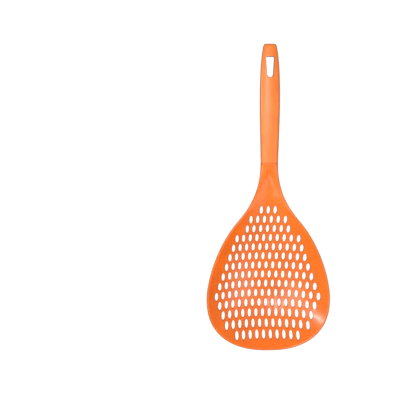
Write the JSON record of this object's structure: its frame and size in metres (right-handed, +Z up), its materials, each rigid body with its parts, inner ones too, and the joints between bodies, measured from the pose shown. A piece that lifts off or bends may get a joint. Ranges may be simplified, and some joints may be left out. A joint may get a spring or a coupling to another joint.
{
  "type": "perforated sand scoop",
  "caption": "One-hand sifting scoop: a perforated teardrop bowl with a thin rim, a troughed neck and a slim hollow handle with a hanging slot at its end.",
  "frame": {"origin": "on the ground, under the middle of the scoop's length and width, with the scoop lying open side up", "axes": "+X across the scoop, +Y along its length towards the handle's end, +Z up out of the bowl"},
  "size_m": [0.142, 0.348, 0.0429],
  "materials": {
    "bowl_plastic": "semi-gloss moulded plastic",
    "handle_plastic": "satin moulded plastic",
    "pin_plastic": "plain moulded plastic"
  },
  "bodies": {
    "root": {"scoop_bowl": "bowl_plastic", "handle_front_shell": "handle_plastic", "handle_back_shell": "handle_plastic", "tang_pin_front": "pin_plastic", "tang_pin_rear": "pin_plastic"}
  },
  "joints": []
}
